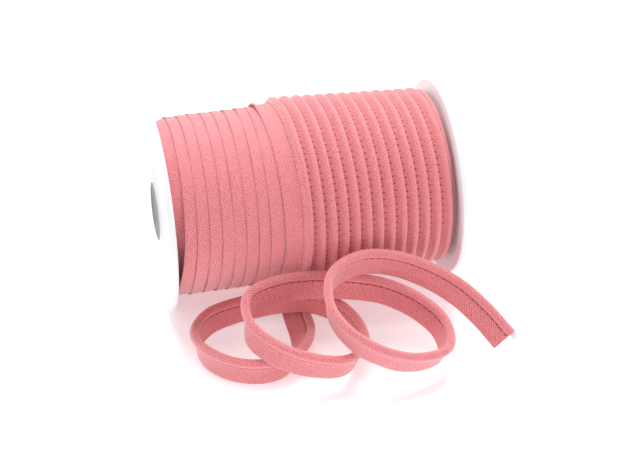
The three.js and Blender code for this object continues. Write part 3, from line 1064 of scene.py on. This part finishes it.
class PIPING_OT_filler_cord(bpy.types.Operator):
    """Makes the filler cord's twisted strands, which stand out of the bead at the cut end"""

    bl_idname = "piping.filler_cord"
    bl_label = "Filler cord at the cut end"

    def execute(self, context):
        base, across, out, _ = loose_frames()
        *_, middle = cloth_sizes()
        aside, away = across[-1], out[-1]
        ahead = np.cross(aside, away)
        centre = base[-1] + aside * middle
        draw = random.Random(11)
        points, quads, places, caps, ends = [], [], [], [], []
        turns = np.linspace(0, 2 * math.pi, STRAND_SIDES, endpoint=False)
        levels = np.linspace(0, 1, STRAND_LEVELS)
        sides = np.arange(STRAND_SIDES + 1)
        strands = [(0.0, 0.0)] + [(STRAND_RING, 2 * math.pi * each / STRANDS) for each in range(STRANDS)]
        for ring_radius, start in strands:
            reach = CORE_STUB * draw.uniform(SHORTEST_STRAND, 1.0)
            spread = draw.uniform(0.0, MOST_SPREAD)
            first = len(points)
            for level in levels:
                turn = start + STRAND_TWIST * level
                from_middle = ring_radius * (1 + spread * level)
                line = centre + ahead * (CORE_GAP + level * reach)
                line = line + from_middle * (aside * math.cos(turn) + away * math.sin(turn))
                # A strand's cut end is drawn in a little
                size = STRAND_RADIUS * (1.0 if level < 0.9 else 0.72)
                ring = [aside * math.cos(angle) + away * math.sin(angle) for angle in turns]
                points += [line + size * spoke for spoke in ring]
            strand_quads, strand_places = skin(levels * reach, sides / 2, 0 * sides, STRAND_LEVELS)
            quads.append(first + strand_quads)
            places.append(strand_places)
            last = first + (STRAND_LEVELS - 1) * STRAND_SIDES
            caps += [list(range(first, first + STRAND_SIDES))[::-1], list(range(last, last + STRAND_SIDES))]
            ends += [np.zeros((STRAND_SIDES, 3))] * 2
        core = closed_mesh("filler_cord", points, quads, places, caps, ends, filler_cotton())
        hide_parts("cord_core_end")
        return {"FINISHED"}


class PIPING_OT_loose_trim(bpy.types.Operator):
    """Makes the loose end: the folded trim in its three loops, a cord of its real length"""

    bl_idname = "piping.loose_trim"
    bl_label = "Loose trim"

    def execute(self, context):
        frames = loose_frames()
        along = frames[3]
        section = trim_section()
        q, v = section[:, 0], section[:, 1]
        # The flange ripples a little towards its free edge
        to_edge = np.clip((RIPPLE_FROM - q) / RIPPLE_WIDTH, 0, 1) ** 2
        ripple = wobble(along, size=0.22, wave=34.0, seed=3)[:, None] * to_edge
        # The needle's holes show on the inner face only
        seam = seam_rows(np.abs(q - SEAM), v > 0)
        trim = sweep(
            "loose_piping", frames, q, v + ripple, from_bead(section), seam, woven_cotton(),
        )
        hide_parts("loose_trim")
        settings("cloth").width
        return {"FINISHED"}


class PIPING_OT_loose_stitches(bpy.types.Operator):
    """Sews the loose trim: a row of stitches beside the bead, on its inner face"""

    bl_idname = "piping.loose_stitches"
    bl_label = "Loose trim's stitches"

    def execute(self, context):
        _, _, layer, _ = cloth_sizes()
        frames = loose_frames()
        rows = [(frames, SEAM + 0.05, 0.42 * layer + THREAD_RADIUS * 0.5, 1)]
        stitch_rows("loose_stitches", rows, sewing_thread())
        return {"FINISHED"}


class PIPING_OT_last_turn(bpy.types.Operator):
    """Winds the last turn, which shows its whole width and runs on to the loose end"""

    bl_idname = "piping.last_turn"
    bl_label = "Last turn"

    def execute(self, context):
        _, bead, _, middle = cloth_sizes()
        frames, angles = last_turn_frames()
        angles = angles[:, None]
        section = trim_section()
        q, v, second = section.T
        # The bead is pressed slimmer on the roll, and the flange lies lower.
        # Both ease where the loose end begins.
        ease = smoothstep((-180 - angles) / TAIL_ANGLE)
        # Where the places across the wound trim lie when it is loose, from its bead's middle
        laid = [-10.1, -4.1, OUTER_SEAM - middle, -bead, bead]
        wound = np.interp(q - middle, laid, WOUND_PLACES)
        wound_v = v * np.where(q > SEAM + 0.2, CORDED_BEAD / bead, 1)
        across = wound + (q - middle - wound) * ease
        out = wound_v + dropped(wound) + (v - wound_v - dropped(wound)) * ease
        edge = np.clip((LIFT_FROM - q) / LIFT_WIDTH, 0, 1) ** 1.5
        lift = settings("winding").lift / MM * hump(angles, LIFT_AT, LIFT_REACH) * edge
        # The layers have slipped a little on the front, so that the lower one's edge shows
        slip = SLIP * hump(angles, SLIP_AT, SLIP_REACH) * second
        # Each needle hole is drawn to a narrow slot here, where the cloth is pulled flat over the roll
        seam = seam_rows(np.abs(q - OUTER_SEAM) + HOLE_RADIUS * 0.7, v < 0)
        turn = sweep(
            "last_turn", frames, across + slip, out - lift, from_bead(section), seam, woven_cotton(),
        )
        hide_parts("wound_trim")
        return {"FINISHED"}


class PIPING_OT_flat_turns(bpy.types.Operator):
    """Winds the flat half: one ribbon of flanges, each turn lapping over its left neighbour"""

    bl_idname = "piping.flat_turns"
    bl_label = "Flat turns"

    def execute(self, context):
        at, angles, edge, radius = flat_track()
        tilt = math.atan(settings("winding").lap_step / MM / FLAT_PITCH)
        frames = wound_frames(angles, edge, radius - LAP_HALF, tilt)
        section = np.array(FLAT_SECTION) * (1, LAP_HALF)
        q, v = section.T
        # The first turn leans down towards the flange, and each left edge lies down more or less closely
        first = 1 - smoothstep((at - LEAN_EASES) / LEAN_RUN)
        lean = FIRST_TURN_LEAN * first[:, None] * np.clip(1 - q / FLAT_PITCH, 0, 1)
        press = EDGE_PRESS + wobble(at * FLAT_TURN_LENGTH, size=0.12, wave=43, seed=17)
        lean = lean + press[:, None] * np.clip(1 - q / EDGE_PRESS_WIDTH, 0, 1) ** 2
        seam = np.full(len(section) + 1, NO_SEAM)
        ribbon = sweep(
            "flat_turns", frames, q, v + lean, unwrap(section), seam, woven_cotton(),
        )
        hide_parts("wound_trim")
        return {"FINISHED"}


class PIPING_OT_corded_turns(bpy.types.Operator):
    """Winds the corded half: turn by turn, each with its bead and its seam in view"""

    bl_idname = "piping.corded_turns"
    bl_label = "Corded turns"

    def execute(self, context):
        section = corded_section()
        q, v = section.T
        seam = seam_rows(np.abs(q - CORDED_SEAM), v < 1)
        turns = sweep(
            "corded_turns", corded_frames(), q, v, from_bead(section), seam, woven_cotton(),
        )
        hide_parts("wound_trim")
        return {"FINISHED"}


class PIPING_OT_wound_stitches(bpy.types.Operator):
    """Sews the wound trim: the stitches that show beside its beads"""

    bl_idname = "piping.wound_stitches"
    bl_label = "Wound trim's stitches"

    def execute(self, context):
        _, _, layer, _ = cloth_sizes()
        last, _ = last_turn_frames()
        rows = [
            (corded_frames(), CORDED_SEAM, 0.42, -1),
            (last, LAST_SEAM, dropped(LAST_SEAM) - 1.3 * layer, -1),
        ]
        stitch_rows("wound_stitches", rows, sewing_thread())
        return {"FINISHED"}


class PIPING_OT_winding_body(bpy.types.Operator):
    """Fills the spool below the turns that show: the layers of trim wound under them"""

    bl_idname = "piping.winding_body"
    bl_label = "Layers below"

    def execute(self, context):
        body = turned(
            "winding_body", BODY_PROFILE, BODY_SEGMENTS, woven_cotton(), pressed_share=1.0,
        )
        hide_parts("wound_trim")
        return {"FINISHED"}


class PIPING_OT_spool(bpy.types.Operator):
    """Makes the spool: two discs with rounded rims and the tube that joins them"""

    bl_idname = "piping.spool"
    bl_label = "Spool"

    def execute(self, context):
        spool = settings("spool")
        plastic = moulded_polystyrene("white_polystyrene", 1.0)
        for side, name, solid in ((-1, "left_flange", "flange_left"), (1, "right_flange", "flange_right")):
            disc = turned(name, disc_profile(side), SPOOL_SEGMENTS, plastic)
            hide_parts(solid)
        low, high = TUBE_LOW.x / MM, TUBE_HIGH.x / MM
        inner, outer = spool.bore_radius / MM, TUBE_RADIUS / MM
        profile = [(low, inner), (low, outer), (0, outer), (high, outer), (high, inner), (0, inner)]
        # The tube's material is a shaded copy of the flanges': painted shade for the deep bore
        grey = moulded_polystyrene("grey_polystyrene", TUBE_BRIGHTNESS)
        tube = turned("spool_tube", profile, SPOOL_SEGMENTS, grey)
        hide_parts("core_tube")
        return {"FINISHED"}


PIECES = [
    PIPING_OT_studio,
    PIPING_OT_filler_cord,
    PIPING_OT_loose_trim,
    PIPING_OT_loose_stitches,
    PIPING_OT_last_turn,
    PIPING_OT_flat_turns,
    PIPING_OT_corded_turns,
    PIPING_OT_wound_stitches,
    PIPING_OT_winding_body,
    PIPING_OT_spool,
]
GROUPS = {
    "trim_cloth": PipingTrimCloth,
    "trim_winding": PipingTrimWinding,
    "trim_spool": PipingTrimSpool,
    "trim_studio": PipingTrimStudio,
}


class PIPING_PT_panel(bpy.types.Panel):
    """Lists the pieces of the roll and their settings"""

    bl_idname = "PIPING_PT_panel"
    bl_label = "Piping Trim"
    bl_space_type = "VIEW_3D"
    bl_region_type = "UI"
    bl_category = "Piping Trim"

    def draw(self, context):
        layout = self.layout
        for name in GROUPS:
            box = layout.box()
            group = getattr(context.scene, name)
            for setting in group.bl_rna.properties.keys():
                if setting not in ("rna_type", "name"):
                    box.prop(group, setting)
        for piece in PIECES:
            layout.operator(piece.bl_idname)


def register():
    for each in (*GROUPS.values(), *PIECES, PIPING_PT_panel):
        bpy.utils.register_class(each)
    for name, group in GROUPS.items():
        setattr(bpy.types.Scene, name, bpy.props.PointerProperty(type=group))


def unregister():
    for name in GROUPS:
        delattr(bpy.types.Scene, name)
    for each in (PIPING_PT_panel, *reversed(PIECES), *GROUPS.values()):
        bpy.utils.unregister_class(each)


def main():
    """Makes the studio and every piece."""
    register()
    for piece in PIECES:
        group, name = piece.bl_idname.split(".")
        getattr(getattr(bpy.ops, group), name)()


if __name__ == "__main__":
    main()
